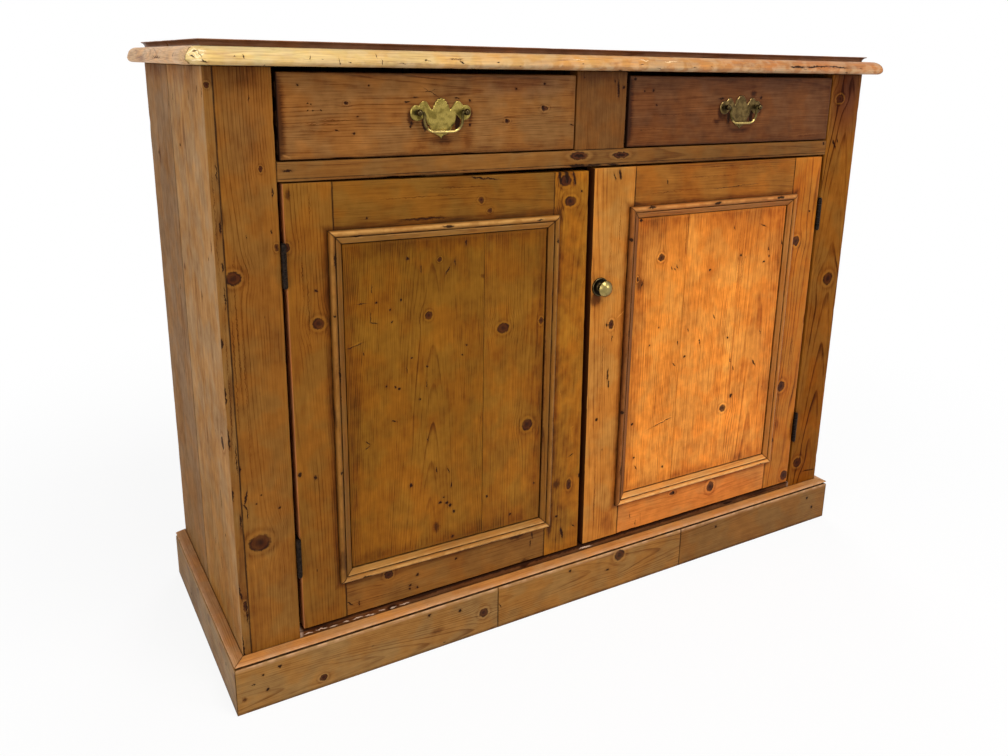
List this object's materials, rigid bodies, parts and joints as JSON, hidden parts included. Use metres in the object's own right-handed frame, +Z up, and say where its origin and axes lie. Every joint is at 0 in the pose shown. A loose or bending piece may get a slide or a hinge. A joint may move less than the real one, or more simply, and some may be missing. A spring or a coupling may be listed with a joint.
{
  "type": "jelly cupboard",
  "caption": "Free-standing panelled pine cupboard with drawers over bolection-moulded doors, brass bail handles and a turned brass knob.",
  "frame": {"origin": "on the floor, midway across the cupboard and midway between its foremost and rearmost points", "axes": "+X to the right as seen from the front, +Y to the back, +Z up"},
  "size_m": [1.206, 0.424, 0.912],
  "materials": {
    "waxed_pine": "waxed",
    "dark_pine": "waxed",
    "plain_pine": "bare",
    "aged_brass": "aged",
    "dark_iron": "dull"
  },
  "bodies": {
    "carcass": {"back_boards": "plain_pine", "bearers": "plain_pine", "bottom_rail": "plain_pine", "drawer_guides": "plain_pine", "drawer_muntin": "waxed_pine", "drawer_rail": "waxed_pine", "drawer_runners": "plain_pine", "floor_boards": "plain_pine", "hinge_carcass_leaves": "dark_iron", "hinge_pins": "dark_iron", "nosing_front": "waxed_pine", "nosing_left": "waxed_pine", "nosing_right": "waxed_pine", "plinth_caps": "waxed_pine", "plinth_front_boards": "waxed_pine", "plinth_left": "waxed_pine", "plinth_right": "waxed_pine", "shelf_boards": "plain_pine", "side_left_back_board": "waxed_pine", "side_left_front_board": "waxed_pine", "side_right_back_board": "waxed_pine", "side_right_front_board": "waxed_pine", "stile_left": "waxed_pine", "stile_right": "waxed_pine", "stop_blocks": "plain_pine", "top_back_board": "dark_pine", "top_front_board": "dark_pine"},
    "door_left": {"bolt_plate": "dark_iron", "door_left_bottom_rail": "waxed_pine", "door_left_hinge_leaves": "dark_iron", "door_left_left_stile": "waxed_pine", "door_left_mouldings": "waxed_pine", "door_left_panel": "waxed_pine", "door_left_right_stile": "waxed_pine", "door_left_top_rail": "waxed_pine"},
    "door_right": {"door_right_bottom_rail": "waxed_pine", "door_right_hinge_leaves": "dark_iron", "door_right_left_stile": "waxed_pine", "door_right_mouldings": "waxed_pine", "door_right_panel": "waxed_pine", "door_right_right_stile": "waxed_pine", "door_right_top_rail": "waxed_pine", "knob_rosette": "aged_brass"},
    "drawer_left": {"drawer_left_back": "plain_pine", "drawer_left_bottom": "plain_pine", "drawer_left_front": "dark_pine", "drawer_left_sides": "plain_pine", "handle_left_plate": "aged_brass", "handle_left_posts": "aged_brass"},
    "drawer_right": {"drawer_right_back": "plain_pine", "drawer_right_bottom": "plain_pine", "drawer_right_front": "dark_pine", "drawer_right_sides": "plain_pine", "handle_right_plate": "aged_brass", "handle_right_posts": "aged_brass"},
    "bail_left": {"handle_left_bail": "aged_brass"},
    "bail_right": {"handle_right_bail": "aged_brass"},
    "turning_knob": {"knob": "aged_brass", "knob_catch": "dark_iron"},
    "sliding_bolt": {"bolt": "dark_iron"}
  },
  "joints": [
    {"name": "door_left_swing", "type": "hinge", "parent": "carcass", "child": "door_left", "pos_m": [-0.4935, -0.1905, 0.418], "axis": [0, 0, -1], "range_deg": [0, 160]},
    {"name": "door_right_swing", "type": "hinge", "parent": "carcass", "child": "door_right", "pos_m": [0.5, -0.1905, 0.418], "axis": [0, 0, 1], "range_deg": [0, 160]},
    {"name": "drawer_left_slide", "type": "slide", "parent": "carcass", "child": "drawer_left", "axis": [0, -1, 0], "range_m": [0, 0.29]},
    {"name": "drawer_right_slide", "type": "slide", "parent": "carcass", "child": "drawer_right", "axis": [0, -1, 0], "range_m": [0, 0.29]},
    {"name": "bail_left_swing", "type": "hinge", "parent": "drawer_left", "child": "bail_left", "pos_m": [-0.26845, -0.1966, 0.8251], "axis": [-1, 0, 0], "range_deg": [0, 150]},
    {"name": "bail_right_swing", "type": "hinge", "parent": "drawer_right", "child": "bail_right", "pos_m": [0.2843, -0.1966, 0.8272], "axis": [-1, 0, 0], "range_deg": [0, 150]},
    {"name": "knob_turn", "type": "hinge", "parent": "door_right", "child": "turning_knob", "pos_m": [0.0115, -0.188, 0.55], "axis": [0, -1, 0], "range_deg": [0, 90]},
    {"name": "bolt_slide", "type": "slide", "parent": "door_left", "child": "sliding_bolt", "axis": [0, 0, 1], "range_m": [0, 0.014]}
  ]
}
